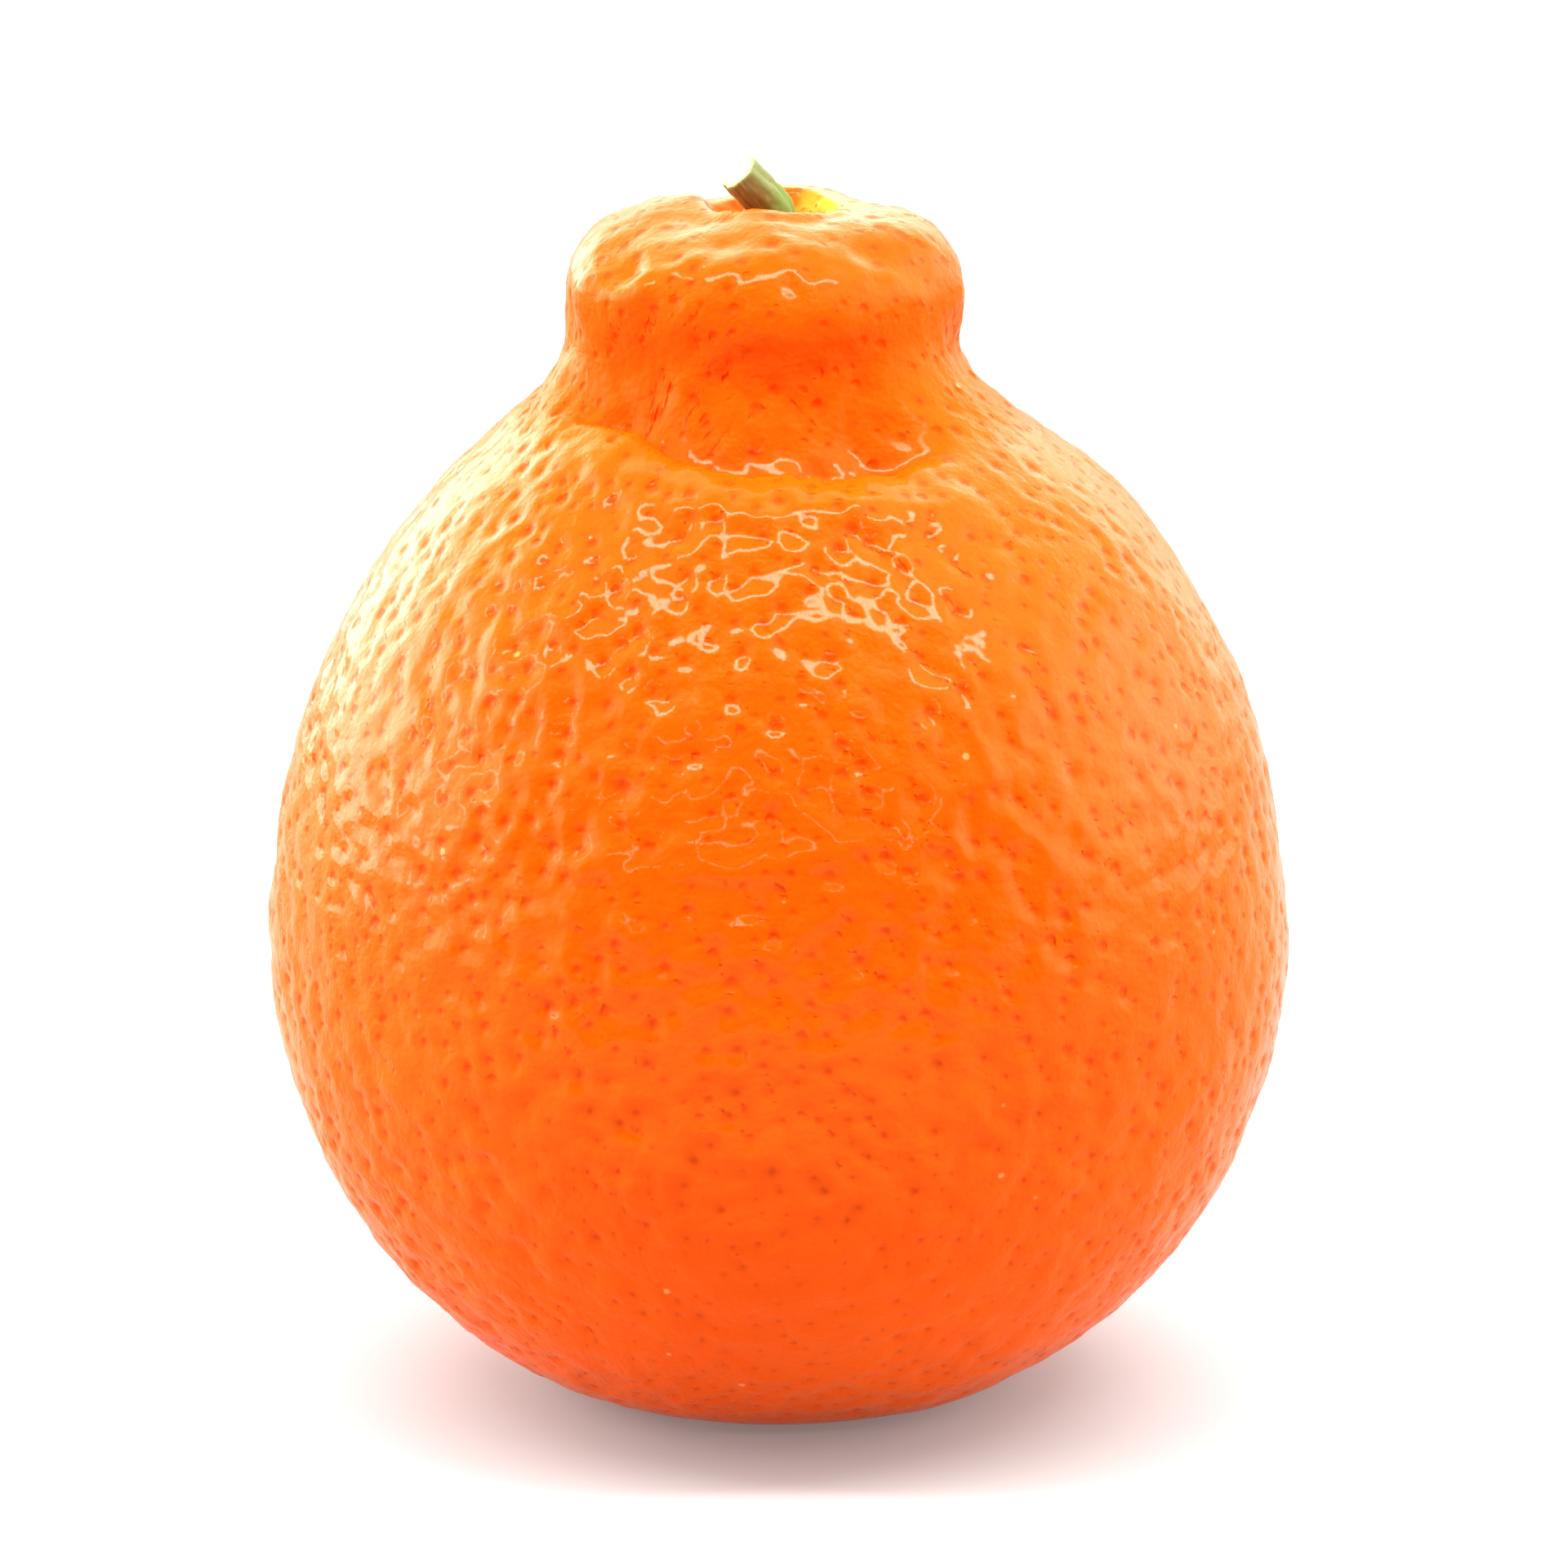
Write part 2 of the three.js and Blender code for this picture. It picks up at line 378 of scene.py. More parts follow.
def peel_material(peel):
    material, shade = new_material("waxy_peel")
    place = shade.millimetres()
    height = shade.axis(place, "Z")
    wander = shade.node("ShaderNodeTexNoise", None, {"Vector": place, "Scale": 1 / 3, "Detail": 1.0})
    shaken = shade.vector("MULTIPLY_ADD", wander.outputs["Color"], (0.9, 0.9, 0.9), place)

    # Pores: a small hole at the bottom of each dimple of the mesh.
    to_pore = shade.node("ShaderNodeAttribute", {"attribute_name": "to_pore"}).outputs["Vector"]
    near_pore = shade.rise(shade.attribute("pore_nearer"), 0.5, 0.8)
    pore_size = shade.attribute("pore_size")
    hole_distance = shade.distance(to_pore, (0, 0, 0)) / pore_size
    hole = near_pore * (1 - shade.rise(hole_distance, 0.1, 1.0))
    # The dimple round each pore, which only darkens the colour: painted shade.
    dimple_shade = near_pore * (1 - shade.rise(hole_distance, 0.6, 2.4))

    # Grain too fine for the mesh.
    grain = 0.16 * shade.noise(shaken, 1.1, 2.0) + 0.08 * shade.noise(place, 0.45, 1.0)
    relief = grain - (peel.pore_depth / MM) * pore_size * hole
    bump = shade.node("ShaderNodeBump", None, {"Strength": 1.0, "Distance": MM, "Height": relief})

    # Colour: warm patches, painted shade in and around the pores, a few pale flecks, yellow peel beside the
    # stalk, and brown scuffs.
    patches = shade.rise(shade.noise(place, 21, 3.0), 0.38, 0.66)
    mottle = shade.rise(shade.noise(place, 3.2, 2.0), 0.3, 0.75)
    colour = shade.mix(0.6 * patches + 0.25 * mottle, tuple(peel.colour), tuple(peel.light_colour))
    # Painted shade: the pores' holes and the dimples round them are mixed towards the pore colour.
    colour = shade.mix(0.1 * dimple_shade + 0.22 * hole, colour, tuple(peel.pore_shade_colour))
    fleck_cells = shade.cells(place, 2.6)
    draw = shade.node("ShaderNodeSeparateColor", None, {0: fleck_cells.outputs["Color"]}).outputs[0]
    chosen = shade.rise(Number(shade, draw), 0.9, 0.92)
    fleck = chosen * (1 - shade.rise(Number(shade, fleck_cells.outputs["Distance"]), 0.06, 0.13))
    colour = shade.mix(0.55 * fleck, colour, (1.0, 0.45, 0.2, 1.0))
    beside_stalk = (CALYX_MIDDLE[0] + 2, CALYX_MIDDLE[1] + 1, FRUIT_HEIGHT - RECESS_DEPTH)
    young = 1 - shade.rise(shade.distance(place, beside_stalk), 3.0, 6.2)
    young = young * shade.rise(shade.noise(place, 3, 2.0), 0.3, 0.6)
    colour = shade.mix(0.8 * young, colour, (0.95, 0.55, 0.07, 1.0))
    scuffs = 0
    for point, reach in SCUFFS:
        scuffs = scuffs + (1 - shade.rise(shade.distance(place, point), 0.4, reach))
    scuffs = scuffs * shade.rise(shade.noise(place, 0.7, 2.0), 0.5, 0.66)
    colour = shade.mix(0.5 * scuffs, colour, (0.42, 0.09, 0.02, 1.0))

    # The coat gives the glints, of which the neck has few.
    on_neck = shade.rise(height, 72.5, 74.5) * (1 - shade.rise(height, 82, 86))
    coat = 0.3 * (1 - 0.85 * on_neck)
    wax = peel.roughness + 0.1 * shade.noise(place, 6, 2.0) + 0.2 * hole
    shader = shade.node(
        "ShaderNodeBsdfPrincipled", None,
        {
            "Base Color": colour,
            "Roughness": wax,
            "IOR": 1.45,
            "Specular IOR Level": 0.05,
            "Subsurface Weight": 0.25,
            "Subsurface Radius": (1.0, 0.25, 0.04),
            "Subsurface Scale": 1.2 * MM,
            "Coat Weight": coat,
            "Coat Roughness": 0.07,
            "Coat IOR": 1.45,
            "Normal": bump.outputs[0],
        },
    )
    shade.node("ShaderNodeOutputMaterial", None, {"Surface": shader.outputs[0]})
    return material


def stalk_material(stalk):
    material, shade = new_material("stalk_bark")
    place = shade.millimetres()
    along = shade.attribute("along")
    cut = shade.attribute("cut")
    ring = shade.attribute("ring")
    bearing = shade.attribute("bearing")
    unrolled = shade.node("ShaderNodeCombineXYZ", None, {0: bearing * 6, 1: along * 1.2, 2: 0.0})
    streaks = shade.noise(unrolled.outputs[0], 1.0, 3.0, 0.6)
    speckle = shade.noise(place, 0.35, 3.0, 0.6)
    greener = shade.rise(along + 0.35 * (speckle - 0.5), 0.62, 0.18)
    # Painted light: the stalk's lit right side is greener, and its shaded left side browner.
    painted_lit_side = 1 - shade.attribute("shade_side")
    bark = shade.mix(shade.rise(streaks, 0.35, 0.65), tuple(stalk.bark_colour), (0.28, 0.27, 0.1, 1.0))
    bark = shade.mix(0.7 * shade.rise(painted_lit_side, 0.4, 0.7), bark, (0.2, 0.24, 0.09, 1.0))
    bark = shade.mix(0.85 * greener, bark, tuple(stalk.green_colour))
    bark = shade.mix(0.5 * shade.rise(speckle, 0.62, 0.72), bark, (0.11, 0.06, 0.025, 1.0))
    wood = shade.mix(shade.rise(ring, 0.62, 0.8), tuple(stalk.cut_colour), (0.36, 0.42, 0.16, 1.0))
    wood = shade.mix(1 - shade.rise(ring, 0.12, 0.26), wood, (0.72, 0.7, 0.56, 1.0))
    wood = shade.mix(0.4 * shade.rise(speckle, 0.5, 0.7), wood, (0.5, 0.45, 0.27, 1.0))
    colour = shade.mix(cut, bark, wood)
    relief = 0.05 * streaks * (1 - cut) + 0.04 * speckle
    bump = shade.node("ShaderNodeBump", None, {"Strength": 1.0, "Distance": MM, "Height": relief})
    shader = shade.node(
        "ShaderNodeBsdfPrincipled", None,
        {
            "Base Color": colour,
            "Roughness": 0.62 + 0.2 * streaks,
            "Subsurface Weight": 0.1,
            "Subsurface Radius": (0.5, 0.6, 0.2),
            "Subsurface Scale": 0.4 * MM,
            "Normal": bump.outputs[0],
        },
    )
    shade.node("ShaderNodeOutputMaterial", None, {"Surface": shader.outputs[0]})
    return material


def calyx_material(stalk):
    material, shade = new_material("calyx_green")
    place = shade.millimetres()
    out = shade.attribute("out")
    speckle = shade.noise(place, 0.4, 3.0, 0.6)
    colour = shade.mix(shade.rise(speckle, 0.35, 0.7), tuple(stalk.green_colour), (0.24, 0.34, 0.06, 1.0))
    dry = shade.rise(out + 0.4 * (speckle - 0.5), 0.72, 1.0)
    colour = shade.mix(0.8 * dry, colour, (0.22, 0.12, 0.04, 1.0))
    bump = shade.node("ShaderNodeBump", None, {"Strength": 1.0, "Distance": MM, "Height": 0.06 * speckle})
    shader = shade.node(
        "ShaderNodeBsdfPrincipled", None,
        {"Base Color": colour, "Roughness": 0.55 + 0.2 * speckle, "Normal": bump.outputs[0]},
    )
    shade.node("ShaderNodeOutputMaterial", None, {"Surface": shader.outputs[0]})
    return material


def floor_material(stage):
    material, shade = new_material("pale_floor")
    shader = shade.node(
        "ShaderNodeBsdfPrincipled", None,
        {
            "Base Color": tuple(stage.floor_colour), "Roughness": 0.9, "Specular IOR Level": 0.1,
            "Emission Color": (1, 1, 1, 1), "Emission Strength": 0.15,
        },
    )
    shade.node("ShaderNodeOutputMaterial", None, {"Surface": shader.outputs[0]})
    return material


# ---------------------------------------------------------------- shapes


def rise(value, low, high):
    """0 where the value is below low, 1 above high, smooth between."""
    share = np.clip((value - low) / (high - low), 0, 1)
    return share * share * (3 - 2 * share)


def bump(value, middle, width):
    """A bump of height 1 around a middle."""
    return np.exp(-(((value - middle) / width) ** 2))


def turn_between(bearing, other):
    """How far one bearing is from another, in radians, the short way round."""
    return np.arctan2(np.sin(bearing - other), np.cos(bearing - other))


def bend(start, leaving, arriving, end, steps=40):
    """Points of a bezier curve in the plane, without its first."""
    corners = [Vector((*corner, 0)) for corner in (start, leaving, arriving, end)]
    return [(p.x, p.y) for p in geometry.interpolate_bezier(*corners, steps + 1)][1:]


def fruit_outline():
    """Radius and height of points up the fruit's side, from the resting spot to the recess's middle."""
    shoulder_angle = math.asin((SHOULDER_HEIGHT - WIDEST_HEIGHT) / UPPER_HALF)
    shoulder = (WIDEST_RADIUS * math.cos(shoulder_angle), SHOULDER_HEIGHT)
    floor = FRUIT_HEIGHT - RECESS_DEPTH
    outline = [(0, 0), (REST_RADIUS, 0)]
    outline += bend(
        outline[-1],
        (REST_RADIUS + UNDERSIDE_RUN, 0),
        (WIDEST_RADIUS, WIDEST_HEIGHT - SIDE_RUN),
        (WIDEST_RADIUS, WIDEST_HEIGHT),
    )
    for angle in np.linspace(0, shoulder_angle, 60)[1:]:
        outline.append((WIDEST_RADIUS * math.cos(angle), WIDEST_HEIGHT + UPPER_HALF * math.sin(angle)))
    outline += bend(
        shoulder,
        (
            shoulder[0] - SHOULDER_RUN * math.cos(SHOULDER_SLOPE),
            SHOULDER_HEIGHT + SHOULDER_RUN * math.sin(SHOULDER_SLOPE),
        ),
        (NECK_RADIUS + WAIST_FLARE, WAIST_HEIGHT - WAIST_RUN),
        (NECK_RADIUS, WAIST_HEIGHT),
    )
    outline.append((NECK_RADIUS, HEAD_HEIGHT))
    outline += bend(
        (NECK_RADIUS, HEAD_HEIGHT),
        (NECK_RADIUS, HEAD_HEIGHT + HEAD_RUN),
        (RIM_RADIUS + TOP_RUN, FRUIT_HEIGHT),
        (RIM_RADIUS, FRUIT_HEIGHT),
    )
    outline += bend(
        (RIM_RADIUS, FRUIT_HEIGHT),
        (RIM_RADIUS - RECESS_RUN, FRUIT_HEIGHT),
        (RECESS_RADIUS + RECESS_RUN, floor),
        (RECESS_RADIUS, floor),
    )
    outline.append((0, floor))
    return np.array(outline)


def skin_share(outline):
    """The outline's skin, in square millimetres, and the share of it that lies below each of its points."""
    steps = np.diff(outline, axis=0)
    skin = math.pi * np.hypot(steps[:, 0], steps[:, 1]) * (outline[1:, 0] + outline[:-1, 0])
    return skin.sum(), np.concatenate([[0], np.cumsum(skin)]) / skin.sum()


def wrap_on_outline(directions):
    """Places of points on the round fruit, as dense on any part of its skin as on any other."""
    outline = fruit_outline()
    share = skin_share(outline)[1]
    up = (1 + directions[:, 2]) / 2
    radius = np.interp(up, share, outline[:, 0])
    height = np.interp(up, share, outline[:, 1])
    bearing = np.arctan2(directions[:, 0], -directions[:, 1])
    return radius, bearing, height


def waves_around(bearing, waves):
    """The sum of some waves around the fruit."""
    return sum(size * np.cos(count * (bearing - crest)) for size, count, crest in waves)


def grow(radius, bearing, height):
    """Places of the grown fruit's points, from those of the round one."""
    degrees = np.degrees(bearing)
    on_neck = rise(height, *NECK_BAND)
    on_head = rise(height, *HEAD_BAND) * rise(radius, 3, 12)
    on_rim = rise(height, *RIM_BAND) * rise(radius, RECESS_RADIUS, RIM_RADIUS)
    on_top = rise(height, *TOP_BAND)
    in_front = rise(degrees, *CREASE_STARTS) * (1 - rise(degrees, *CREASE_ENDS))

    # The shoulder's lip, the crease behind it, and the neck's foot that stands back from it.
    crease_height = CREASE_HEIGHT + (FOLD_HEIGHT - CREASE_HEIGHT) * rise(-degrees, *FOLD_CLIMBS)
    above = height - crease_height
    undercut = NECK_UNDERCUT * in_front * rise(above, -0.2, 0.8) * (1 - rise(above, 2, 10))
    lip = LIP_HEIGHT * in_front * bump(above, -2.2, 1.6)
    crease = CREASE_DEPTH * bump(degrees, CREASE_BEARING, 15) * bump(above, 0.2, 1)
    sunk = FOOT_SINK * undercut * (1 - rise(above, 0.8, 4.5))
    slope = (lip - crease) * math.sqrt(0.5)
    grown = radius + LOBE_SIZE * waves_around(bearing, HEAD_LOBES) * on_head + slope - undercut

    # The head's left hump, and the peel that crowds up to the stalk in front.
    hump = RIM_HUMP * bump(degrees, -90, 45) * bump(radius, 7, 2.2)
    crowding = 1 - BRIM_FALL * (1 - rise(np.cos(bearing + math.pi / 6), 0, 0.6))
    brim = BRIM_HEIGHT * crowding * bump(radius, BRIM_RADIUS, 1.15)
    shift = NECK_OFFSET * on_neck + RECESS_OFFSET * on_top * (1 - rise(radius, 4, 9))
    raised = RIM_WAVE * waves_around(bearing, RIM_WAVES) * on_rim
    upward = height + raised + slope - sunk + (hump + brim) * on_top
    return np.stack([grown * np.sin(bearing) + shift, -grown * np.cos(bearing), upward], axis=1)


def plant_tree(points):
    tree = kdtree.KDTree(len(points))
    for index, point in enumerate(points.tolist()):
        tree.insert(point, index)
    tree.balance()
    return tree


def scatter_pores(spacing):
    """Middles of the peel's pores, and how strong each is: spread evenly over the skin, then shaken."""
    rng = np.random.default_rng(PORE_SEED)
    count = int(skin_share(fruit_outline())[0] / spacing**2)
    index = np.arange(count)
    up = 1 - 2 * (index + 0.5) / count
    around = index * math.pi * (3 - math.sqrt(5))
    flat = np.sqrt(1 - up**2)
    directions = np.stack([flat * np.cos(around), flat * np.sin(around), up], axis=1)
    directions += rng.normal(scale=PORE_SHAKE * math.sqrt(4 * math.pi / count), size=directions.shape)
    directions /= np.linalg.norm(directions, axis=1, keepdims=True)
    pores = grow(*wrap_on_outline(directions))
    tree = plant_tree(pores)
    to_next = np.array([tree.find_n(pore, 2)[1][2] for pore in pores.tolist()])
    alone = (to_next > PORE_CLEARANCE) | (index % 2 == 0)
    return pores[alone], rng.uniform(0.3, 1.0, count)[alone] ** 1.8


def nearest_pores(places, peel):
    """The way to each place from its nearest pore, that pore's strength, and how much nearer it is."""
    pores, strengths = scatter_pores(peel.pore_spacing / MM)
    tree = plant_tree(pores)
    found = [tree.find_n(place, 2) for place in places.tolist()]
    nearest = np.array([first[1] for first, _ in found])
    nearer = np.array([second[2] - first[2] for first, second in found])
    return places - pores[nearest], strengths[nearest], nearer


def peel_relief(places, bearing, to_pore, strength, peel):
    """How far each point of the peel stands out, in millimetres."""
    pebble_height = peel.pebble_height / MM
    lump_height = peel.lump_height / MM
    height = places[:, 2]
    on_head = rise(height, 74, 82)
    on_neck = rise(height, 70, 76)
    degrees = np.degrees(bearing)
    rough = 1.25 - 0.5 * rise(-degrees, 20, 60) - 0.65 * rise(degrees, 20, 45) - 0.5 * on_head
    rough *= 1 - 0.5 * rise(np.cos(bearing), 0.5, 0.9) * (1 - rise(height, 14, 28))
    ridged = bump(turn_between(bearing, -0.62), 0, 0.4) * rise(height, 44, 52) * (1 - rise(height, 62, 68))
    pleated = bump(turn_between(bearing, 0.1), 0, 0.5) * bump(height, 69.6, 2.6)
    out = np.zeros(len(places))
    for i, (x, y, z) in enumerate(places.tolist()):
        lump = noise.noise((x / 12, y / 12, z / 12)) + 0.5 * noise.noise((x / 6 + 7, y / 6, z / 6))
        swell = noise.noise((x / 2.6, y / 2.6, z / 2.6 + 9))
        swell += 0.5 * noise.noise((x / 1.3, y / 1.3 + 4, z / 1.3))
        out[i] = lump_height * 0.7 * lump + 0.85 * pebble_height * rough[i] * swell
        if on_head[i] > 0.01:
            out[i] += lump_height * on_head[i] * 0.55 * noise.noise((x / 3.4, y / 3.4 + 3, z / 4.2))
        if on_neck[i] > 0.01:
            out[i] += pebble_height * on_neck[i] * 0.5 * noise.noise((x / 1.4 + 5, y / 1.4, z / 1.4))
        if ridged[i] > 0.03:
            vein = 1 - 3 * abs(noise.noise((x / 2.6, y / 2.6, z / 6.5)))
            out[i] += 0.15 * ridged[i] * max(vein, 0) ** 2
        if pleated[i] > 0.03:
            pleat = 1 - 3 * abs(noise.noise((x / 4.5, y / 1.6, z / 1.5)))
            out[i] += 0.2 * pleated[i] * max(pleat, 0) ** 2
    pore_distance = np.linalg.norm(to_pore, axis=1)
    out -= pebble_height * (0.2 + 0.9 * strength) * rough * bump(pore_distance, 0, 0.65)
    for dent_bearing, dent_height, width, depth in DENTS:
        turn = turn_between(bearing, math.radians(dent_bearing))
        near = np.argmin((np.abs(turn) * 15) ** 2 + (height - dent_height) ** 2)
        away = np.linalg.norm(places - places[near], axis=1)
        out -= depth * bump(away, 0, width)
    return out * rise(height, 0.4, 4.0)


def finish_piece(piece, node, material):
    """Gives a piece its material, and its place in the object."""
    piece.data.materials.append(material)
    piece.data.polygons.foreach_set("use_smooth", [True] * len(piece.data.polygons))
    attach(piece, "root")
    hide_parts(node)


def new_piece(name, bm):
    mesh = bpy.data.meshes.new(name)
    bm.to_mesh(mesh)
    bm.free()
    piece = bpy.data.objects.new(name, mesh)
    bpy.context.scene.collection.objects.link(piece)
    return piece


def read_mesh(mesh, field):
    numbers = np.empty(len(mesh.vertices) * 3)
    mesh.vertices.foreach_get(field, numbers)
    return numbers.reshape(-1, 3)


def make_fruit(peel):
    bm = bmesh.new()
    bmesh.ops.create_cube(bm, size=2)
    bmesh.ops.subdivide_edges(bm, edges=bm.edges[:], cuts=FRUIT_FINENESS - 1, use_grid_fill=True)
    piece = new_piece("peel_and_neck", bm)
    mesh = piece.data
    cube = np.tan(read_mesh(mesh, "co") * math.pi / 4)
    directions = cube / np.linalg.norm(cube, axis=1, keepdims=True)
    radius, bearing, height = wrap_on_outline(directions)
    places = grow(radius, bearing, height)
    mesh.vertices.foreach_set("co", (places * MM).ravel())
    mesh.update()
    normals = read_mesh(mesh, "normal")
    to_pore, strength, nearer = nearest_pores(places, peel)
    write_attribute(mesh, "pore_nearer", nearer)
    calm = rise(np.cos(bearing), 0.5, 0.9) * (1 - rise(height, 24, 38))
    write_attribute(mesh, "pore_size", (0.3 + 0.38 * strength) * (1 - 0.5 * calm))
    mesh.attributes.new("to_pore", "FLOAT_VECTOR", "POINT").data.foreach_set("vector", to_pore.ravel())
    places += normals * peel_relief(places, bearing, to_pore, strength, peel)[:, None]
    places[:, 2] = np.maximum(places[:, 2], 0)
    mesh.vertices.foreach_set("co", (places * MM).ravel())
    mesh.update()
    finish_piece(piece, "fruit", peel_material(peel))


def turned(outline, steps):
    """A bmesh of an outline of (radius, height) points turned about +Z. It starts and ends on the axis."""
    bm = bmesh.new()
    corners = [bm.verts.new((radius, 0, height)) for radius, height in outline]
    sides = [bm.edges.new(pair) for pair in zip(corners, corners[1:])]
    bmesh.ops.spin(
        bm, geom=corners + sides, cent=(0, 0, 0), axis=(0, 0, 1),
        angle=2 * math.pi, steps=steps, use_merge=True,
    )
    bmesh.ops.remove_doubles(bm, verts=bm.verts[:], dist=1e-5)
    bmesh.ops.recalc_face_normals(bm, faces=bm.faces[:])
    return bm


def write_attribute(mesh, name, numbers):
    layer = mesh.attributes.new(name, "FLOAT", "POINT")
    layer.data.foreach_set("value", numbers)


def make_calyx(stalk):
    outline = [(0, 0), (0.9, 0), (1.8, 0), (CALYX_RADIUS - 0.35, 0)]
    outline += bend(outline[-1], (CALYX_RADIUS, 0), (CALYX_RADIUS, 0.2), (CALYX_RADIUS, 0.45), 5)
    edge = (STEM_RADIUS + 0.3, CALYX_HEIGHT - 0.1)
    outline += bend(outline[-1], (CALYX_RADIUS - 0.1, 0.9), (2.1, 1.1), edge, 8)
    outline += [(STEM_RADIUS, CALYX_HEIGHT), (1.0, CALYX_HEIGHT), (0.5, CALYX_HEIGHT), (0, CALYX_HEIGHT)]
    bm = turned(outline, 100)
    floor = FRUIT_HEIGHT - RECESS_DEPTH + GAP
    out = []
    for vertex in bm.verts:
        radius = math.hypot(vertex.co.x, vertex.co.y)
        bearing = math.atan2(vertex.co.x, -vertex.co.y)
        share = radius / CALYX_RADIUS
        out.append(share)
        star = abs(math.cos(CALYX_LOBES / 2 * bearing)) ** 0.7
        reach = 1 + rise(radius, 1.2, CALYX_RADIUS) * (0.15 * star - 0.2 * (1 - star))
        crumple = 0.09 * noise.noise((vertex.co.x * 1.6, vertex.co.y * 1.6, 4.0)) * share
        vertex.co.x *= reach
        vertex.co.y *= reach
        if vertex.co.z > 0.2:
            vertex.co.z += crumple + 0.1 * share * (star - 0.6)
        vertex.co += Vector((*CALYX_MIDDLE, floor))
        vertex.co *= MM
    piece = new_piece("calyx_button", bm)
    write_attribute(piece.data, "out", out)
    finish_piece(piece, "calyx", calyx_material(stalk))


def bend_stem(place):
    """Bends a point of the upright stalk over to where the leaning stalk has it."""
    bend_radius = STEM_BEND / STEM_LEAN
    angle = STEM_LEAN * min(place.z / STEM_BEND, 1)
    beyond = max(place.z - STEM_BEND, 0)
    reach = bend_radius + place.x
    bent = Vector((
        reach * math.cos(angle) - bend_radius - beyond * math.sin(angle),
        place.y,
        reach * math.sin(angle) + beyond * math.cos(angle),
    ))
    return Matrix.Rotation(STEM_TURN, 3, "Z") @ bent


def make_stem(stalk):
    outline = [(0, 0), (0.8, 0), (STEM_FOOT_RADIUS - 0.05, 0)]
    outline += bend(outline[-1], (STEM_FOOT_RADIUS, 0.3), (STEM_RADIUS, 0.8), (STEM_RADIUS, 2.0), 16)
    outline += [(STEM_RADIUS, 2.0 + (STEM_LENGTH - 2.15) * step / 14) for step in range(1, 15)]
    outline += [(STEM_RADIUS - 0.06, STEM_LENGTH - 0.05), (STEM_RADIUS - 0.16, STEM_LENGTH)]
    outline += [((STEM_RADIUS - 0.16) * (1 - step / 8), STEM_LENGTH) for step in range(1, 9)]
    bm = turned(outline, 96)
    base = Vector((*CALYX_MIDDLE, FRUIT_HEIGHT - RECESS_DEPTH + GAP + CALYX_HEIGHT + GAP))
    rib_height = stalk.rib_height / MM
    marks = {"along": [], "cut": [], "ring": [], "bearing": [], "shade_side": []}
    for vertex in bm.verts:
        radius = math.hypot(vertex.co.x, vertex.co.y)
        bearing = math.atan2(vertex.co.y, vertex.co.x)
        along = vertex.co.z / STEM_LENGTH
        on_cut = vertex.co.z > STEM_LENGTH - 0.02
        marks["along"].append(along)
        marks["cut"].append(1.0 if on_cut else 0.0)
        marks["ring"].append(radius / STEM_RADIUS)
        marks["bearing"].append(math.sin(bearing) + 0.5 * math.cos(2 * bearing))
        # How far round each point is towards the stalk's shaded side, for the painted light on its bark.
        marks["shade_side"].append(0.5 - 0.5 * math.cos(bearing))
        ribs = math.cos(5 * bearing + 0.6) + 0.5 * math.cos(8 * bearing + 1.1 + 0.8 * vertex.co.z)
        rough = noise.noise((3 * math.cos(bearing), 3 * math.sin(bearing), 1.6 * vertex.co.z))
        out = 1 + (rib_height * ribs + 0.07 * rough) / STEM_RADIUS * rise(radius, 0.6, 1.3)
        vertex.co.x *= out
        vertex.co.y *= out
        if on_cut:
            fibres = 0.05 * noise.noise((vertex.co.x * 2.2, vertex.co.y * 2.2, 9.0))
            vertex.co.z += fibres - 0.04 * (1 - radius)
        vertex.co = (bend_stem(vertex.co) + base) * MM
    piece = new_piece("stalk_stub", bm)
    for name, numbers in marks.items():
        write_attribute(piece.data, name, numbers)
    finish_piece(piece, "stem", stalk_material(stalk))


# ---------------------------------------------------------------- stage


def make_floor(stage):
    bm = bmesh.new()
    bmesh.ops.create_grid(bm, x_segments=8, y_segments=8, size=FLOOR_REACH)
    floor = new_piece("floor", bm)
    floor.data.materials.append(floor_material(stage))


def light_panel(name, place, width, length, watts):
    """A soft light that faces the lamp target."""
    lamp = bpy.data.lights.new(name, "AREA")
    lamp.shape = "RECTANGLE"
    lamp.size = width
    lamp.size_y = length
    lamp.energy = watts
    panel = bpy.data.objects.new(name, lamp)
    panel.location = place
    panel.rotation_euler = (Vector(LAMP_TARGET) - Vector(place)).to_track_quat("-Z", "Y").to_euler()
    bpy.context.scene.collection.objects.link(panel)


def make_tent():
    """Light from the glowing walls and roof of a tent, which is open and dark on the camera's side."""
    world = bpy.data.worlds.new("tent")
    bpy.context.scene.world = world
    world.use_nodes = True
    shade = Shading(world.node_tree)
    direction = shade.node("ShaderNodeTexCoord").outputs["Generated"]
    glow = 0
    for _, towards, lit, end, strength in TENT_WALLS:
        facing = shade.dot(direction, Vector(towards).normalized())
        edges = [math.cos(math.radians(angle)) for angle in (end, lit)]
        glow = glow + strength * shade.rise(facing, *edges)
    seen = Number(shade, shade.node("ShaderNodeLightPath").outputs["Is Camera Ray"])
    light = {"Color": (1, 1, 1, 1), "Strength": seen + (1 - seen) * glow}
    sky = shade.node("ShaderNodeBackground", None, light)
    shade.node("ShaderNodeOutputWorld", None, {"Surface": sky.outputs[0]})


def make_camera(stage):
    scene = bpy.context.scene
    lens = bpy.data.cameras.new("camera")
    lens.sensor_width = 36.0
    lens.lens = lens.sensor_width * stage.camera_distance / stage.view_width
    lens.clip_start = 0.01
    lens.clip_end = 50.0
    camera = bpy.data.objects.new("camera", lens)
    target = Vector(CAMERA_TARGET) * MM
    tilt = stage.camera_elevation
    camera.location = target + stage.camera_distance * Vector((0, -math.cos(tilt), math.sin(tilt)))
    camera.rotation_euler = (math.pi / 2 - tilt, 0, 0)
    scene.collection.objects.link(camera)
    scene.camera = camera
    scene.view_settings.view_transform = "Standard"
    scene.view_settings.look = "High Contrast"


# ---------------------------------------------------------------- operators


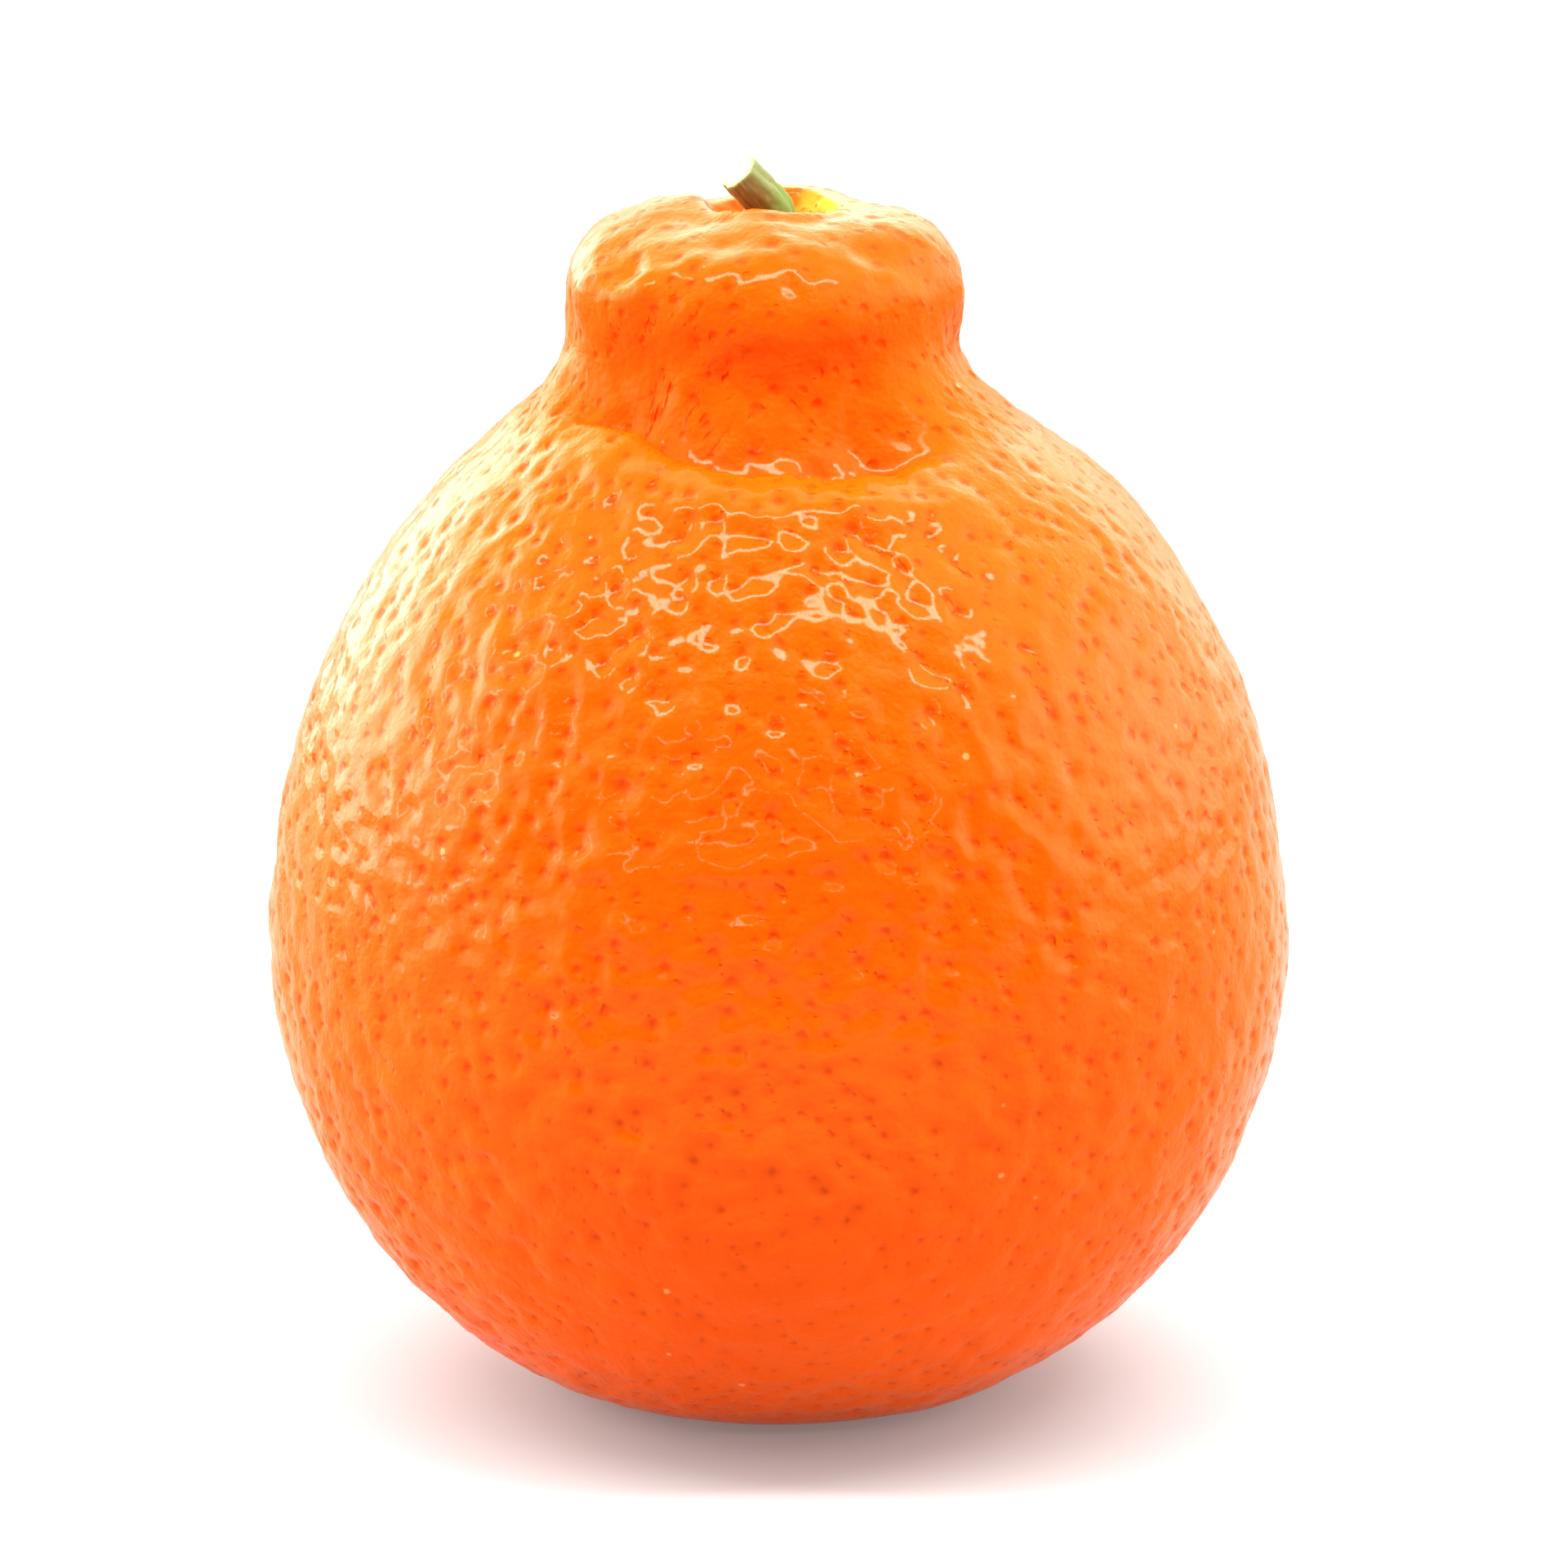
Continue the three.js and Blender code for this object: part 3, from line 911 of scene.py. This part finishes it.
class TANGELO_OT_fruit(bpy.types.Operator):
    """Grow the fruit: body, neck and pebbled peel in one piece."""

    bl_idname = "tangelo.fruit"
    bl_label = "Fruit"

    def execute(self, context):
        make_fruit(context.scene.tangelo_peel)
        return {"FINISHED"}


class TANGELO_OT_calyx(bpy.types.Operator):
    """Make the green button at the stalk's foot."""

    bl_idname = "tangelo.calyx"
    bl_label = "Calyx"

    def execute(self, context):
        make_calyx(context.scene.tangelo_stalk)
        return {"FINISHED"}


class TANGELO_OT_stem(bpy.types.Operator):
    """Make the cut stub of the stalk."""

    bl_idname = "tangelo.stem"
    bl_label = "Stalk"

    def execute(self, context):
        make_stem(context.scene.tangelo_stalk)
        return {"FINISHED"}


class TANGELO_OT_stage(bpy.types.Operator):
    """Set up the floor, the light and the camera."""

    bl_idname = "tangelo.stage"
    bl_label = "Stage"

    def execute(self, context):
        stage = context.scene.tangelo_stage
        make_floor(stage)
        make_tent()
        for lamp in LAMPS:
            light_panel(*lamp)
        make_camera(stage)
        return {"FINISHED"}


class TANGELO_PT_sidebar(bpy.types.Panel):
    """The tangelo's steps, in the order that they are run."""

    bl_label = "Tangelo"
    bl_idname = "TANGELO_PT_sidebar"
    bl_space_type = "VIEW_3D"
    bl_region_type = "UI"
    bl_category = "Tangelo"

    def draw(self, context):
        for step in STEPS:
            self.layout.operator(step.bl_idname)


GROUPS = {
    "tangelo_peel": TangeloPeel,
    "tangelo_stalk": TangeloStalk,
    "tangelo_stage": TangeloStage,
}
STEPS = (TANGELO_OT_fruit, TANGELO_OT_calyx, TANGELO_OT_stem, TANGELO_OT_stage)
CLASSES = (*GROUPS.values(), *STEPS, TANGELO_PT_sidebar)


def register():
    for made in CLASSES:
        bpy.utils.register_class(made)
    for name, group in GROUPS.items():
        setattr(bpy.types.Scene, name, bpy.props.PointerProperty(type=group))


def unregister():
    for name in GROUPS:
        delattr(bpy.types.Scene, name)
    for made in reversed(CLASSES):
        bpy.utils.unregister_class(made)


def main():
    register()
    for step in STEPS:
        group, name = step.bl_idname.split(".")
        getattr(getattr(bpy.ops, group), name)()


if __name__ == "__main__":
    main()
